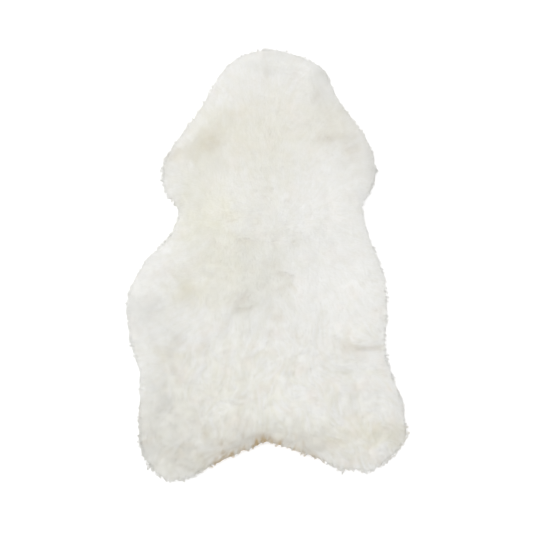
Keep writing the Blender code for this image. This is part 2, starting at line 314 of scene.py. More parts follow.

# %% [markdown]
# Wool isn't one colour. It is cream-white, yellower where the grease of the skin has stained it,
# mostly over the left of the back, whiter on the flanks, and greyer towards the feet. Part of the
# grey is painted shade: along the rims, at the feet and in the dark of the back. A painted picture
# could carry all that, but a list of places is easier to read and to correct. Each place is a soft
# oval with its middle and reach in millimetres, and how much cream, tan and grey it adds, or takes
# away where the wool is whiter. Inside the left foot, the grey that is taken away is painted light.
# A cloudy map bends the ovals, so that none shows as an oval.

# %% Where the wool is cream, tan or grey
# place, x, y, reach across, reach along, cream, tan, grey (partly painted shade)
# The grey column is partly painted shade, along the rims, at the feet and in the dark of the back;
# the minus grey inside the left foot is painted light.
STAINS_AND_SHADE = [
    ("shoulders", -25, 288, 150, 88, 0.50, 0.05, 0.0),
    ("left shoulder", -124, 245, 60, 60, 0.30, 0.05, 0.0),
    ("left shoulder spot", -116, 253, 30, 20, 0.05, 0.06, 0.03),
    ("left shoulder rim", -192, 234, 26, 22, 0.10, 0.07, 0.05),
    ("right shoulder", 143, 276, 42, 40, 0.25, 0.09, 0.05),
    ("right shoulder edge", 175, 245, 30, 24, 0.0, 0.05, 0.10),
    ("left back", -134, 104, 75, 98, 0.68, 0.0, 0.0),
    ("middle back", -68, -8, 75, 85, 0.60, 0.0, 0.10),
    ("left back low", -164, -55, 45, 42, 0.75, 0.06, 0.06),
    ("dark of the back", -36, -72, 42, 38, 0.30, 0.0, 0.30),
    ("beside the spine", -36, 55, 30, 45, 0.10, 0.0, 0.15),
    ("spine", 17, 2, 30, 90, 0.30, 0.0, 0.20),
    ("upper spine", 0, 170, 60, 70, 0.30, 0.0, 0.05),
    ("left flank spot", -198, -192, 34, 26, 0.30, 0.13, 0.0),
    ("loin", -57, -240, 160, 110, 0.30, 0.0, 0.05),
    ("rump", 20, -260, 190, 110, 0.20, 0.0, 0.0),
    ("right flank", 180, -165, 50, 35, 0.25, 0.04, 0.10),
    ("left flank", -215, -156, 60, 110, 0.0, 0.0, 0.22),
    ("left flank rim", -272, -88, 34, 46, -0.15, 0.0, 0.24),
    ("left foot", -215, -346, 82, 90, 0.50, 0.02, 0.36),
    ("left foot end", -185, -420, 80, 34, 0.50, 0.04, 0.32),
    ("streak of the left foot, outside", -254, -362, 15, 8, 0.10, 0.12, 0.06),
    ("streak of the left foot, upper", -230, -358, 14, 8, 0.25, 0.13, 0.0),
    ("streak of the left foot, middle", -188, -382, 34, 13, 0.30, 0.13, 0.0),
    ("streak of the left foot, lower", -204, -398, 12, 8, 0.10, 0.09, 0.04),
    ("streak of the left foot, inside", -136, -402, 14, 10, 0.15, 0.14, 0.04),
    ("streak of the left foot, end", -158, -426, 34, 8, 0.20, 0.09, 0.08),
    ("streak above the left foot", -124, -355, 16, 10, 0.20, 0.11, 0.0),
    ("left foot rim", -262, -380, 26, 50, 0.10, 0.0, 0.30),
    ("tail", -15, -335, 130, 38, 0.35, 0.0, 0.20),
    ("notch", 0, -365, 125, 26, 0.38, 0.10, 0.55),
    ("right foot", 207, -357, 80, 30, 0.80, 0.07, 0.0),
    ("right foot end", 175, -410, 60, 25, 0.20, 0.0, 0.08),
    ("right shoulder rim", 228, 230, 34, 60, 0.05, 0.02, 0.32),
    ("left shoulder end", -215, 215, 26, 40, 0.10, 0.03, 0.25),
    ("right neck rim", 122, 385, 30, 50, 0.0, 0.0, 0.35),
    ("head end", 14, 428, 84, 26, 0.0, 0.0, 0.26),
    ("right shoulder top", 165, 312, 34, 44, 0.10, 0.02, 0.16),
    ("right shoulder low", 174, 205, 28, 36, 0.10, 0.02, 0.18),
    ("left shoulder middle", -160, 250, 32, 34, 0.12, 0.03, 0.14),
    ("beside the lower spine", -37, 2, 28, 32, 0.05, 0.0, 0.14),
    ("left loin rim", -246, -75, 36, 32, 0.05, 0.0, 0.18),
    ("left rump", -240, -270, 46, 56, 0.05, 0.0, 0.20),
    ("right rump", 200, -285, 48, 36, 0.10, 0.02, 0.15),
    ("right foot rim", 258, -352, 30, 52, 0.15, 0.03, 0.20),
    ("right of the notch", 98, -366, 42, 26, 0.20, 0.04, 0.18),
    ("left of the notch", -60, -366, 44, 24, 0.10, 0.03, 0.14),
    ("left foot inside", -122, -404, 40, 22, 0.25, 0.04, 0.20),
    ("right shoulder middle", 150, 262, 34, 28, 0.05, 0.03, 0.14),
    ("left shoulder low", -118, 220, 30, 24, 0.05, 0.0, 0.12),
    ("right of the spine", 88, 45, 60, 34, 0.05, 0.0, 0.14),
    ("right flank low", 178, -200, 40, 30, 0.10, 0.0, 0.14),
    ("right neck", 110, 330, 38, 42, 0.20, 0.03, 0.02),
    ("white of the right back", 172, -32, 60, 58, 0.0, 0.0, -0.08),
    ("white of the right loin", 180, -122, 50, 36, 0.0, 0.0, -0.12),
    ("white by the crown, right", 125, 132, 34, 40, 0.0, 0.0, -0.06),
    ("white by the crown, left", -92, 112, 40, 48, 0.0, 0.0, -0.15),
    ("white of the left flank", -212, 42, 36, 30, 0.0, 0.0, -0.12),
    ("white of the left loin", -116, -288, 34, 50, 0.0, 0.0, -0.14),
    ("white of the rump", 34, -262, 70, 44, -0.25, 0.0, -0.10),
    ("white of the right hip", 258, -243, 26, 30, 0.0, 0.0, -0.20),
    ("white inside the left foot", -130, -418, 24, 12, 0.0, 0.0, -0.35),
    ("whole loin", 10, -105, 270, 62, 0.0, 0.0, 0.08),
]
CREAM, TAN, GREY_AND_SHADE = 5, 6, 7
print("stains:", len(STAINS_AND_SHADE))

# %% Read the stains and painted shade
BEND = 11 * MM
BEND_SIZE = 8 * MM
blot = np.random.default_rng(11)
bend_x = softened(blot.normal(0, 1, (ROWS, COLUMNS)), BEND_SIZE)
bend_y = softened(blot.normal(0, 1, (ROWS, COLUMNS)), BEND_SIZE)
bend_x = bend_x / bend_x.std()
bend_y = bend_y / bend_y.std()


def stained_and_shaded(x, y, column):
    """How much of one stain colour, or of the grey that is partly painted shade, the places have,
    from all the ovals in the table.
    """
    total = np.zeros_like(x)
    x = x + BEND * read(bend_x, x, y)
    y = y + BEND * read(bend_y, x, y)
    for row in STAINS_AND_SHADE:
        across = (x / MM - row[1]) / row[3]
        along = (y / MM - row[2]) / row[4]
        total += row[column] * np.exp(-1.2 * (across**2 + along**2))
    return total


left_back = stained_and_shaded(np.array([-134 * MM]), np.array([104 * MM]), CREAM)
print("cream on the left back:", left_back.round(2))

# %% [markdown]
# Seen close, wool is made of fibres that are clean and pale at the tip, and warmer and duller down
# in the pile. Its large patches come from numbers that are written on the piece itself further
# down. The finish adds what is smaller: a mottle of cream, a pink-tan blush in clouds a few fingers
# wide, more of it in curly wool, and a tone for each lock. The root tint also paints shade into the
# grooves and hollows. The thin wool of the rim is painted paler, as painted light that comes
# through it. The bed under the strands gets the same finish, painted a shade darker as the shade
# in the gaps between the strands.

# %% The wool's finish
# the roots' warmer, duller colour, which also paints shade into grooves and hollows
ROOT_AND_SHADE_TINT = paint(214, 211, 198)
BLUSH_TINT = paint(236, 220, 205)
# painted light: paler wool along the rim, for light that comes through thin wool
RIM_LIGHT_TINT = paint(250, 250, 248)
# grey, partly painted shade
GREY_AND_SHADE_TINT = paint(204, 204, 199)
# tan: stains, and painted shade in creases and between the notch's wisps
TAN_AND_SHADE_TINT = paint(182, 161, 126)
TONE_TINT = paint(210, 208, 200)


def wool_finish(name, pale, creamy):
    """Cream-white wool, warmer at the roots, with its stains, painted shade and painted light read
    from the piece's own values.
    """
    finish = Finish(name)
    mottle = finish.clouds(60.0, 3.0)
    fibre = finish.clouds(900.0, 2.0)
    cream = finish.attribute("cream") + (mottle - 0.5) * 0.6
    root = (1.0 - finish.attribute("along")) ** 1.5
    tufty = finish.attribute("tufty")
    # painted shade: the groove value darkens grooves and hollows with the root tint
    deep = root * (0.08 + 0.12 * tufty) + finish.attribute("groove") * 0.2
    blush = finish.node(
        "MapRange", {}, {"Value": finish.clouds(26.0, 2.0), "From Min": 0.48, "From Max": 0.80}
    )
    tone = finish.attribute("tone") * (0.05 + 0.03 * tufty)
    colour = finish.mix(pale, creamy, cream)
    colour = finish.mix(colour, ROOT_AND_SHADE_TINT, deep)
    colour = finish.mix(colour, BLUSH_TINT, blush * (0.16 + 0.26 * tufty))
    # painted light: the rim's wool is made paler
    colour = finish.mix(colour, RIM_LIGHT_TINT, finish.attribute("thin") * 0.4)
    # grey, partly painted shade; less than none paints light
    colour = finish.mix(colour, GREY_AND_SHADE_TINT, finish.attribute("grey"))
    # tan: stains, and painted shade in the creases
    colour = finish.mix(colour, TAN_AND_SHADE_TINT, finish.attribute("tan"))
    colour = finish.mix(colour, TONE_TINT, tone)
    finish.surface(
        Base_Color=colour,
        Roughness=0.80 + fibre * 0.15,
        Normal=finish.relief(0.25, 0.4 * MM, fibre),
        Sheen_Weight=0.15,
        Sheen_Roughness=0.5,
    )
    return finish.material


wool = wool_finish("wool_fibre", paint(238, 238, 236), paint(226, 224, 204))
# painted shade: the bed is darker, for the shade in the gaps between strands
shaded_underwool = wool_finish("shaded_underwool", paint(234, 234, 230), paint(222, 220, 200))
print("wool nodes:", len(wool.node_tree.nodes))

# %% [markdown]
# The hide's underside and edge are suede, the flesh side of the skin: tan, with a fine nap, pores
# and a mottle of paler and darker patches. From above only its edge shows, in the notch at the
# tail, but the finish covers the whole sheet, because a rug gets turned over.


# %% The leather's finish
def leather_finish():
    """Tanned suede with a soft mottle, pores and a fine nap."""
    finish = Finish("tanned_suede")
    mottle = finish.clouds(14.0, 4.0)
    nap = finish.clouds(700.0, 3.0)
    place = finish.node("TexCoord", {}, {}, 3)
    pores = finish.node("TexVoronoi", {}, {"Vector": place, "Scale": 420.0})
    colour = finish.mix(paint(186, 160, 126), paint(208, 186, 152), mottle)
    colour = finish.mix(colour, paint(160, 134, 102), (1.0 - pores) * 0.18)
    colour = finish.mix(colour, paint(222, 204, 174), nap * 0.25)
    finish.surface(
        Base_Color=colour,
        Roughness=0.78 + nap * 0.18,
        Normal=finish.relief(0.4, 0.3 * MM, nap + pores * 0.5),
        Sheen_Weight=0.2,
        Sheen_Roughness=0.6,
    )
    return finish.material


leather = leather_finish()
print("leather nodes:", len(leather.node_tree.nodes))

# %% [markdown]
# The hide is made from a copy of its solid, so that it lies where the fleece was set on it. A
# packed solid is loose triangles, so the copy's corners are merged first and its triangles are
# joined in pairs. Then its cut edges are rounded with a narrow bevel, as a knife and wear leave
# them.


# %% Copy a solid, ready to be shaped
def copied(solid, name):
    """A merged copy of a packed solid, selected and in edit mode."""
    bpy.ops.object.select_all(action="DESELECT")
    made = solid.copy()
    made.data = solid.data.copy()
    made.name = name
    made.data.name = name
    for key in list(made.keys()):
        del made[key]
    bpy.context.scene.collection.objects.link(made)
    made.select_set(True)
    bpy.context.view_layer.objects.active = made
    made.data.materials.clear()
    bpy.ops.object.mode_set(mode="EDIT")
    bpy.ops.mesh.select_all(action="SELECT")
    bpy.ops.mesh.customdata_custom_splitnormals_clear()
    bpy.ops.mesh.remove_doubles(threshold=0.01 * MM)
    return made


def apply_all(piece):
    """Applies every modifier on the piece, in order."""
    bpy.ops.object.select_all(action="DESELECT")
    piece.select_set(True)
    bpy.context.view_layer.objects.active = piece
    for modifier in list(piece.modifiers):
        bpy.ops.object.modifier_apply(modifier=modifier.name)


print("faces to copy:", len(hide.data.polygons), "and", len(fleece.data.polygons))

# %% The hide
rug_hide = copied(hide, "rug_hide")
bpy.ops.mesh.tris_convert_to_quads(face_threshold=0.7, shape_threshold=0.7)
bpy.ops.object.mode_set(mode="OBJECT")
rounded = rug_hide.modifiers.new("rounded_edge", "BEVEL")
rounded.width = 0.5 * MM
rounded.segments = 2
rounded.limit_method = "ANGLE"
rounded.angle_limit = math.radians(50)
apply_all(rug_hide)
rug_hide.data.materials.append(leather)
bpy.ops.object.shade_smooth_by_angle(angle=math.radians(40))
print("hide faces:", len(rug_hide.data.polygons))

# %% [markdown]
# Wool parts into locks, each a bundle of fibres that lean and curl together. On the neck and the
# shoulders they are small and stand so close that the wool looks plush. Towards the rump they are
# larger and curlier, so one number says how tufty the wool is at a place. The middles of the locks
# are scattered by chance, and one that falls too close to an earlier one is dropped. That gives an
# even but never regular spacing, as on a real skin.

# %% How tufty the wool is
TUFTS_BEGIN = 20 * MM
TUFTS_FULL = -270 * MM


def tuftiness(y):
    """0 on the plush neck and shoulders, 1 on the curly rump."""
    share = np.clip((TUFTS_BEGIN - y) / (TUFTS_BEGIN - TUFTS_FULL), 0, 1)
    return share * share * (3 - 2 * share)


print("tuftiness at the loin:", round(float(tuftiness(np.array(-0.1))), 2))

# %% Scatter the locks
chance = np.random.default_rng(4)
PLUSH_LOCK = 10.0 * MM
CURLY_LOCK = 14.0 * MM
LOCK_TRIES = 60000


def thinned(spots_x, spots_y, apart):
    """The places left when those too close to an earlier one are dropped."""
    buckets = {}
    kept = []
    for x, y, gap in zip(spots_x, spots_y, apart):
        i = int(x // CURLY_LOCK)
        j = int(y // CURLY_LOCK)
        close = False
        for di in (-1, 0, 1):
            for dj in (-1, 0, 1):
                for other in buckets.get((i + di, j + dj), ()):
                    if (x - other[0]) ** 2 + (y - other[1]) ** 2 < gap * gap:
                        close = True
        if not close:
            buckets.setdefault((i, j), []).append((x, y))
            kept.append((x, y))
    return np.array(kept)


spots_x = chance.uniform(box_low[0], box_high[0], LOCK_TRIES)
spots_y = chance.uniform(box_low[1], box_high[1], LOCK_TRIES)
inside = read(inward, spots_x, spots_y) > 2 * MM
spots_x = spots_x[inside]
spots_y = spots_y[inside]
locks = thinned(spots_x, spots_y, PLUSH_LOCK + (CURLY_LOCK - PLUSH_LOCK) * tuftiness(spots_y))
print("locks:", len(locks))

# %% [markdown]
# Wool lies the way it was last brushed or pressed. On this rug it runs out to the sides, up to the
# neck and down to the tail from a crown on the back, turns round that crown as hair does, and
# leans off the rim all round. The way is worked out for every cell of the map. A slow drift is
# added to it, and smaller eddies where the wool is curly, because no coat lies quite straight.

# %% Which way the wool is combed
CROWN_X = -25 * MM
CROWN_Y = 93 * MM


def combed(x, y):
    """The way the wool lies, as an angle: to the sides and ends, round the crown, off the rim."""
    from_x = x - CROWN_X
    from_y = y - CROWN_Y
    way_x = 0.9 * x / 0.2
    way_y = 0.8 * np.clip(from_y / (60 * MM), -1, 1)
    near_crown = 1.6 * np.exp(-(from_x**2 + from_y**2) / (50 * MM) ** 2)
    far = np.maximum(np.hypot(from_x, from_y), 5 * MM)
    way_x = way_x - near_crown * from_y / far
    way_y = way_y + near_crown * from_x / far
    rim = np.exp(-np.maximum(read(inward, x, y), 0) / (20 * MM)) * 4
    way_x = way_x + rim * read(outward_x, x, y)
    way_y = way_y + rim * read(outward_y, x, y)
    return np.arctan2(way_y, way_x)


def by_the_rim(inside):
    """1 at the outline, falling to little two fingers in from it."""
    return np.exp(-np.maximum(inside, 0) / (14 * MM))


def cloudy(size):
    """A map of slow chance clouds of about the given size."""
    return softened(chance.normal(0, 1, (ROWS, COLUMNS)), size)


grid_x, grid_y = np.meshgrid(
    WEST + np.arange(COLUMNS) * CELL, SOUTH + np.arange(ROWS) * CELL
)
tuft_grid = tuftiness(grid_y)
drift = cloudy(22 * MM)
eddy = cloudy(11 * MM)
stray = (0.3 + 0.3 * tuft_grid) * drift / drift.std() + 0.5 * tuft_grid * eddy / eddy.std()
flow = combed(grid_x, grid_y) + stray * (1 - 0.8 * by_the_rim(inward))
flow_x = np.cos(flow)
flow_y = np.sin(flow)
print("mean way of the wool, degrees:", round(math.degrees(float(flow[covered].mean()))))

# %% [markdown]
# Within and between its locks wool shows wisps, long fine ridges that run the way it lies. Speckle
# smeared along that way gives just such ridges: from every cell a walk goes a few steps forwards
# and back along the flow, and adds up the speckle that it meets. One map has fine wisps, and one
# has broader tufts.

# %% Wisps, drawn out along the way the wool lies
STRIDE = 2 * MM


def drawn_out(width, long):
    """A noise of the given width, smeared along the wool's way over the given length."""
    noise = cloudy(width)
    total = noise.copy()
    for sense in (-1, 1):
        x = grid_x.copy()
        y = grid_y.copy()
        for _ in range(int(long / 2 / STRIDE)):
            step_x = read(flow_x, x, y)
            step_y = read(flow_y, x, y)
            x += sense * STRIDE * step_x
            y += sense * STRIDE * step_y
            total += read(noise, x, y)
    return total / total.std()


wisps = drawn_out(1.3 * MM, 28 * MM)
tufts = drawn_out(2.2 * MM, 34 * MM)
print("share of cells on a wisp:", round(float((wisps[covered] > 1).mean()), 2))

# %% [markdown]
# Between two locks runs a groove. Its map comes from the two nearest middles of every cell: where
# both are equally far away, the cell is on the border. Real locks cling together here and there, so
# a cloudy map decides how deep each border is. The map also sets the painted shade in the grooves.

# %% Grooves between the locks
GROOVE_WIDTH = 3.2 * MM
LOCK_TREE = kdtree.KDTree(len(locks))
for number, (a, b) in enumerate(locks):
    LOCK_TREE.insert((a, b, 0), number)
LOCK_TREE.balance()

groove = np.zeros((ROWS, COLUMNS))
for row, column in np.argwhere(inward > -3 * MM):
    first, second = LOCK_TREE.find_n((WEST + column * CELL, SOUTH + row * CELL, 0), 2)
    groove[row, column] = math.exp(-(((second[2] - first[2]) / GROOVE_WIDTH) ** 2))
apart = cloudy(9 * MM)
groove = softened(groove * np.clip(0.55 + 0.45 * apart / apart.std(), 0, 1), 1.5 * MM)
print("groove, mean:", round(float(groove[covered].mean()), 2))

# %% [markdown]
# Then there are the creases that the photograph shows, where the rug was folded or the wool has
# parted, and the dark streaks in the short wool of the notch. They are listed by name, each a
# narrow oval that is turned along the crease. It sinks the wool, and it is painted tan as painted
# shade, because one looks down to the roots there; in the notch the tan is also a brown stain.
# Along its side towards the neck the wool stands up in a low lip.

# %% Creases
# place, x, y, turn in degrees, half length, half width, depth, tan (painted shade, and stain in the
# notch)
CREASES = [
    ("crown bottom", 38, -20, -12, 24, 4.5, 4.0, 0.5),
    ("back left arc", -43, 50, -14, 32, 5.0, 2.5, 0.3),
    ("spine spot", 12, 48, 10, 8, 5.0, 3.0, 0.3),
    ("spine slant", 53, 46, 38, 10, 4.0, 3.5, 0.3),
    ("upper spine", 43, 135, 0, 10, 6.0, 3.0, 0.2),
    ("upper spine left", 3, 158, -8, 12, 5.0, 3.0, 0.3),
    ("below crown", 35, 84, 8, 16, 4.5, 2.0, 0.1),
    ("right of spine", 50, 69, 0, 9, 7.0, 2.0, 0.1),
    ("lower spine", 38, -44, 20, 20, 5.0, 3.0, 0.3),
    ("lower spine left", -8, -44, 0, 9, 6.0, 2.5, 0.3),
    ("loin fold", -50, -91, 2, 26, 4.5, 4.0, 0.4),
    ("loin fold above", -52, -72, 48, 18, 7.0, 3.0, 0.4),
    ("loin fold end", -78, -112, 80, 12, 5.0, 3.5, 0.2),
    ("loin arc", 22, -110, 2, 28, 5.0, 2.5, 0.3),
    ("loin small", -3, -143, 12, 16, 4.5, 2.5, 0.2),
    ("left flank spot", -166, -10, 90, 14, 9.0, 3.0, 0.4),
    ("left flank low", -170, -55, 0, 14, 10.0, 2.0, 0.3),
    ("right flank arc", 212, -34, 14, 26, 4.5, 2.5, 0.1),
    ("right crease", 212, -173, 2, 38, 4.0, 4.0, 0.6),
    ("right faint line", 66, -160, 13, 40, 4.0, 1.8, 0.2),
    ("left rump spot", -183, -240, 0, 12, 7.0, 3.5, 0.7),
    ("middle rump spot", 45, -249, 0, 11, 5.0, 3.0, 0.3),
    ("rump left", -60, -291, 0, 14, 4.5, 3.0, 0.3),
    ("right foot line", 130, -365, 0, 38, 4.5, 2.5, 0.3),
    ("left foot spot", -250, -370, 20, 18, 8.0, 3.0, 0.3),
    ("neck right spot", 100, 346, 60, 14, 9.0, 3.5, 0.3),
    ("shoulder right fold", 119, 262, 0, 20, 8.0, 4.0, 0.4),
    ("shoulder right edge", 176, 240, 25, 22, 9.0, 4.0, 0.5),
    ("shoulder left edge", -191, 232, 80, 16, 12.0, 3.5, 0.4),
    ("shoulder left", -115, 253, 60, 20, 16.0, 2.5, 0.4),
    ("spine of the neck", 2, 280, 75, 30, 6.0, 2.0, 0.2),
    ("neck streak", -2, 392, 75, 28, 7.0, 1.5, 0.2),
    ("spine top", 16, 194, 0, 12, 6.0, 2.0, 0.1),
    ("ring by the crown", -20, 96, 80, 13, 7.0, 1.5, 0.3),
    ("middle of the spine", 2, 2, -15, 20, 6.0, 1.5, 0.2),
    ("notch streak", -93, -391, 80, 10, 2.4, 2.5, 1.4),
    ("notch streak", -132, -354, 60, 9, 3.0, 1.5, 0.7),
    ("notch streak", -95, -370, 85, 10, 2.6, 2.0, 0.9),
    ("notch streak", -106, -408, 60, 10, 2.6, 2.5, 1.6),
    ("notch streak", -58, -384, 90, 9, 2.4, 2.5, 1.4),
    ("notch streak", -24, -370, 75, 10, 2.6, 2.5, 1.6),
    ("notch streak", -10, -357, 80, 11, 2.4, 2.5, 1.4),
    ("notch streak", 5, -358, 95, 10, 2.4, 2.5, 1.2),
    ("notch streak", 29, -371, 100, 9, 2.4, 2.0, 1.0),
    ("notch streak", 76, -371, 100, 10, 2.4, 2.0, 1.0),
    ("notch streak", 67, -388, 95, 9, 2.6, 2.5, 1.4),
    ("notch streak", 115, -409, 110, 8, 2.6, 2.0, 0.8),
    ("notch streak", -50, -352, 85, 8, 2.4, 1.5, 0.6),
    ("notch streak", 59, -355, 100, 9, 2.4, 1.5, 0.7),
]
CREASE_DEPTH, CREASE_TAN_AND_SHADE = 6, 7


def creased(x, y, column, wide):
    """Depth, or tan of painted shade and stain, of all the creases at the places, each drawn so
    many times as wide.
    """
    total = np.zeros_like(x)
    for row in CREASES:
        turn = math.radians(row[3])
        from_x = x / MM - row[1]
        from_y = y / MM - row[2]
        along = (from_x * math.cos(turn) + from_y * math.sin(turn)) / row[4]
        across = (from_y * math.cos(turn) - from_x * math.sin(turn)) / row[5] / wide
        total = np.maximum(total, row[column] * np.exp(-1.5 * (along**4 + across**2)))
    return total


print("creases:", len(CREASES))

# %% [markdown]
# All of that together is the surface of the pile, which the tips of the strands will follow:
# the height of the packed fleece, less the grooves and creases, plus the wisps and tufts. They are
# a fraction of a millimetre high, a little more in the curly half and most at the feet.

# %% The surface of the pile
PLUSH_GROOVE = 0.3 * MM
CURLY_GROOVE = 0.4 * MM
LIP_AWAY = 9 * MM
FEET_BEGIN = -330 * MM
FEET_LENGTH = 60 * MM


def at_the_feet(y):
    """0 on the body of the rug, 1 at the ends of its feet."""
    return np.clip((FEET_BEGIN - y) / FEET_LENGTH, 0, 1)


groove_depth = PLUSH_GROOVE + (CURLY_GROOVE - PLUSH_GROOVE) * tuft_grid
surface = height - groove * groove_depth - creased(grid_x, grid_y, CREASE_DEPTH, 1.2) * 0.6 * MM
surface += creased(grid_x, grid_y - LIP_AWAY, CREASE_DEPTH, 1.3) * 0.3 * MM
surface += wisps * (0.09 + 0.24 * tuft_grid) * MM
surface += tufts * (0.08 + 0.07 * tuft_grid) * MM
surface += (wisps * 0.20 + tufts * 0.25) * at_the_feet(grid_y) * MM
print("wool above the packed fleece, mm:", round(float((surface - height).max()) / MM, 1))

# %% [markdown]
# At the rim real wool doesn't slope down as the solid does: the locks lean out over the slope and
# hide it. So the crest is a second height map, in which the wool near the outline is as high as
# the wool a few millimetres further in. Strands that lean out over the rim follow the crest.

# %% The crest, where the wool leans out over the rim
CREST_BEGINS = 11 * MM
back_in = np.clip(CREST_BEGINS - inward, 0, 15 * MM) * 0.6
crest_plain = read(height, grid_x - outward_x * back_in, grid_y - outward_y * back_in)
crest_plain = np.maximum(crest_plain, height)
crest = crest_plain + surface - height
at_outline = np.abs(inward) < 1.5 * MM
print("crest at the outline, mm:", round(float(crest[at_outline].mean()) / MM, 1))

# %% [markdown]
# Under its locks wool is a dense bed that hides the skin. The bed is a remeshed copy of the fleece.
# Remeshing gives it even faces, and those on its top and sides are divided once more. Its points
# are then fitted to the crest: a millimetre lower, lower still by the rim, and drawn in from the
# outline, so that strands always stand out of it. Its underside stays clear of the hide.

# %% The wool bed
BED_VOXEL = 10.0 * MM
BED_SUNK = 0.9 * MM
BED_SUNK_AT_RIM = 1.2 * MM
BED_DRAWN_IN = 4 * MM
BED_SEAT = 2.3 * MM

wool_bed = copied(fleece, "wool_bed")
bpy.ops.object.mode_set(mode="OBJECT")
remesh = wool_bed.modifiers.new("even", "REMESH")
remesh.mode = "VOXEL"
remesh.voxel_size = BED_VOXEL
apply_all(wool_bed)
bpy.ops.object.mode_set(mode="EDIT")
bpy.ops.mesh.select_all(action="DESELECT")
bpy.ops.object.mode_set(mode="OBJECT")
for face in wool_bed.data.polygons:
    face.select = face.center.z > 6 * MM
bpy.ops.object.mode_set(mode="EDIT")
bpy.ops.mesh.subdivide(number_cuts=1, smoothness=0)
bpy.ops.object.mode_set(mode="OBJECT")
print("bed faces:", len(wool_bed.data.polygons))

# %% Fit the bed under the crest
bed_count = len(wool_bed.data.vertices)
points = np.empty(bed_count * 3)
wool_bed.data.vertices.foreach_get("co", points)
points = points.reshape(-1, 3)
rim_in = read(inward, points[:, 0], points[:, 1])
short = np.maximum(BED_DRAWN_IN - rim_in, 0)
points[:, 0] -= read(outward_x, points[:, 0], points[:, 1]) * short
points[:, 1] -= read(outward_y, points[:, 0], points[:, 1]) * short
level = read(height, points[:, 0], points[:, 1])
raised = read(crest_plain, points[:, 0], points[:, 1]) / np.maximum(level, 5 * MM)
points[:, 2] = np.where(points[:, 2] > 3 * MM, points[:, 2] * raised, points[:, 2])
roof = read(crest, points[:, 0], points[:, 1]) - BED_SUNK
roof -= BED_SUNK_AT_RIM * np.exp(-np.maximum(rim_in, 0) / (10 * MM))
points[:, 2] = np.maximum(np.minimum(points[:, 2], roof), BED_SEAT)
wool_bed.data.vertices.foreach_set("co", points.ravel())
wool_bed.data.update()
wool_bed.data.materials.append(shaded_underwool)
wool_bed.data.shade_smooth()
wool_bed.data.calc_loop_triangles()
print("bed triangles:", len(wool_bed.data.loop_triangles))

# %% [markdown]
# In the notch at the tail the wool is short and brown, and one sees between its wisps. It is brown
# in uneven streaks, so a short table says how brown it is at places across the notch. The brown is
# strongest at the very rim, and fades out over a finger's width. Between the wisps it is browner,
# as painted shade.

# %% The brown of the notch
# millimetres across the rug, and how brown the rim of the notch is there
NOTCH_PLACES = [-150, -128, -112, -92, -60, -30, -12, 8, 60, 95, 128]
NOTCH_BROWN = [0.0, 0.05, 0.80, 0.85, 0.50, 0.58, 0.70, 0.40, 0.46, 0.36, 0.08]


def notch_brown_and_shade(x, y, tone):
    """How brown the wool is at the places: only along the notch, and most between wisps, as painted
    shade.
    """
    rim_in = np.maximum(read(inward, x, y), 0)
    brown = np.interp(x / MM, NOTCH_PLACES, NOTCH_BROWN) * (y < FEET_BEGIN)
    brown = brown * (0.50 * np.exp(-rim_in / (16 * MM)) + 0.6 * np.exp(-((rim_in / (8 * MM)) ** 2)))
    # painted shade: browner between the wisps
    return brown * np.clip(0.8 - 0.5 * read(wisps, x, y), 0.1, 1.8) * (0.5 + tone)


print("brownest, mm across:", NOTCH_PLACES[int(np.argmax(NOTCH_BROWN))])

# %% [markdown]
# Every point of a wool piece carries numbers that its finish reads: how cream, tan and grey the
# wool is there, the tan and grey partly as painted shade, how deep it lies in a groove, for painted
# shade, how thin it is at the rim, for painted light, how tufty it is, how far along its strand the
# point is, and a tone that its lock shares. Hollows between wisps are painted creamier and darker,
# as painted shade, because one looks deeper into the wool there.


# %% Colour values for a wool piece
def set_values(piece, x, y, along, tone):
    """Writes the stains, painted shade and painted light, the place along the strand and the tone
    on every corner point.
    """
    tufty = tuftiness(y)
    # painted shade: hollows between wisps and tufts are painted creamier and darker
    hollow_shade = -0.20 * read(wisps, x, y) - (0.1 + 0.15 * tufty) * read(tufts, x, y)
    notch = notch_brown_and_shade(x, y, tone)
    rim_in = np.maximum(read(inward, x, y), 0)
    values = {
        "cream": stained_and_shaded(x, y, CREAM) + (0.12 + 0.33 * tufty) * hollow_shade,
        # tan: stains, and painted shade in the creases and the notch
        "tan": stained_and_shaded(x, y, TAN) + creased(x, y, CREASE_TAN_AND_SHADE, 1.7) * 0.22 + notch,
        # painted shade in the hollows between wisps and the grooves between locks
        "groove": np.clip(0.3 + hollow_shade, 0, 1) + read(groove, x, y) * 0.35,
        # grey, partly painted shade, also in the notch
        "grey": 0.22 + stained_and_shaded(x, y, GREY_AND_SHADE) + 0.13 * tufty + 0.15 * notch,
        # painted light: paler wool along the rim
        "thin": np.exp(-rim_in / (5.5 * MM)) * (1 - np.minimum(2 * notch, 1)),
        "tufty": tufty,
        "along": along,
        "tone": tone,
    }
    for name, numbers in values.items():
        layer = piece.data.attributes.new(name, "FLOAT", "POINT")
        layer.data.foreach_set("value", np.ascontiguousarray(numbers, dtype=np.float32))


bed_along = np.full(bed_count, 1.0)
bed_tone = np.full(bed_count, 0.5)
set_values(wool_bed, points[:, 0], points[:, 1], bed_along, bed_tone)
cream_values = np.empty(bed_count)
wool_bed.data.attributes["cream"].data.foreach_get("value", cream_values)
print("cream on the bed, mean:", round(float(cream_values.mean()), 2))

# %% [markdown]
# The wool itself is tens of thousands of strands. Hair curves would be quicker to grow, but they
# have no faces of their own, and the rug has to be a mesh. So each strand is a thin spike, which
# stands for a few fibres that cling together. The spike is drawn once: a three-sided ring, extruded
# ring by ring and closed to a point. Two rings do for plush wool. Curly wool gets three, so that it
# can bend.


